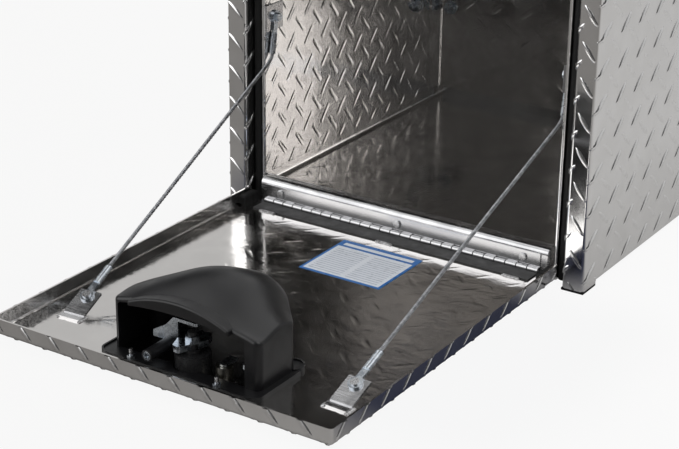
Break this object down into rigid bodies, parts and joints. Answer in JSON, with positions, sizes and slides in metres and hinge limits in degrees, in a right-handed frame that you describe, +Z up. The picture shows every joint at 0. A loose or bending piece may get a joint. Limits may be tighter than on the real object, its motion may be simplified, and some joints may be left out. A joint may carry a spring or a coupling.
{
  "type": "underbody truck tool box",
  "caption": "Tread plate underbody tool box with a drop-down door on a continuous hinge, wire rope stays and a rotary latch under a moulded cover.",
  "frame": {"origin": "middle of the floor pan's underside, on the ground", "axes": "+Z up, +X to the right when facing the door opening, +Y from the door opening to the back"},
  "size_m": [0.4576, 0.9035, 0.4572],
  "materials": {
    "tread_plate": "bright tread plate",
    "bare_aluminium": "mill finish",
    "weld_metal": "as welded",
    "seal_rubber": "matt",
    "pad_rubber": "matt",
    "zinc_steel": "bright zinc plated",
    "stainless": "satin",
    "wire_rope": "stranded",
    "moulded_black": "fine grain",
    "handle_black": "black powder coat",
    "label_print": "printed film",
    "lock_brass": "nickel over brass",
    "roller_black": "smooth"
  },
  "bodies": {
    "box": {"left_side_panel": "tread_plate", "right_side_panel": "tread_plate", "back_panel": "tread_plate", "top_panel": "tread_plate", "floor_pan": "tread_plate", "bottom_rail": "bare_aluminium", "foot_pads": "pad_rubber", "left_seal": "seal_rubber", "right_seal": "seal_rubber", "top_seal": "seal_rubber", "wall_bolts": "zinc_steel", "wall_washers": "zinc_steel", "wall_nuts": "zinc_steel", "hinge_box_leaf": "bare_aluminium", "hinge_pin": "stainless", "hinge_screws": "stainless", "left_anchor_tab": "bare_aluminium", "right_anchor_tab": "bare_aluminium", "anchor_bolts": "zinc_steel", "left_box_stay_end": "zinc_steel", "right_box_stay_end": "zinc_steel", "striker_plate": "zinc_steel", "striker_screws": "zinc_steel", "left_stay_cable": "wire_rope", "right_stay_cable": "wire_rope"},
    "door": {"door_pan": "tread_plate", "hinge_door_leaf": "bare_aluminium", "hinge_welds": "weld_metal", "left_corner_plug": "pad_rubber", "right_corner_plug": "pad_rubber", "left_stay_bracket": "bare_aluminium", "right_stay_bracket": "bare_aluminium", "bracket_rivets": "stainless", "left_door_stay_end": "zinc_steel", "right_door_stay_end": "zinc_steel", "label_plate": "label_print", "latch_cover": "moulded_black", "cover_studs": "stainless", "cover_nuts": "zinc_steel", "handle_plate": "handle_black", "handle_screws": "zinc_steel", "lock_barrel": "lock_brass"},
    "latch": {"spindle": "handle_black", "grip_pin": "stainless", "cam_plate": "zinc_steel", "cam_nut": "zinc_steel", "roller_bolt": "zinc_steel"},
    "roller": {"roller_sleeve": "roller_black"},
    "grip": {"tee_grip": "handle_black"},
    "lock": {"lock_plug": "lock_brass", "lock_tongue": "zinc_steel"}
  },
  "joints": [
    {"name": "door_hinge", "type": "hinge", "parent": "box", "child": "door", "pos_m": [0, -0.2337, 0.014], "axis": [-1, 0, 0], "range_deg": [0, 90], "deforming": ["left_stay_cable", "right_stay_cable"]},
    {"name": "latch_turn", "type": "hinge", "parent": "door", "child": "latch", "pos_m": [0.009, -0.6011, 0.014], "axis": [0, 0, 1], "range_deg": [-90, 0]},
    {"name": "roller_spin", "type": "hinge", "parent": "latch", "child": "roller", "pos_m": [-0.017, -0.6235, 0.03], "axis": [0, -1, 0], "continuous": true},
    {"name": "grip_fold", "type": "hinge", "parent": "latch", "child": "grip", "pos_m": [0.009, -0.6011, 0.0042], "axis": [-1, 0, 0], "range_deg": [0, 90]},
    {"name": "lock_turn", "type": "hinge", "parent": "door", "child": "lock", "pos_m": [0.043, -0.5991, 0.014], "axis": [0, 0, 1], "range_deg": [0, 90]}
  ]
}
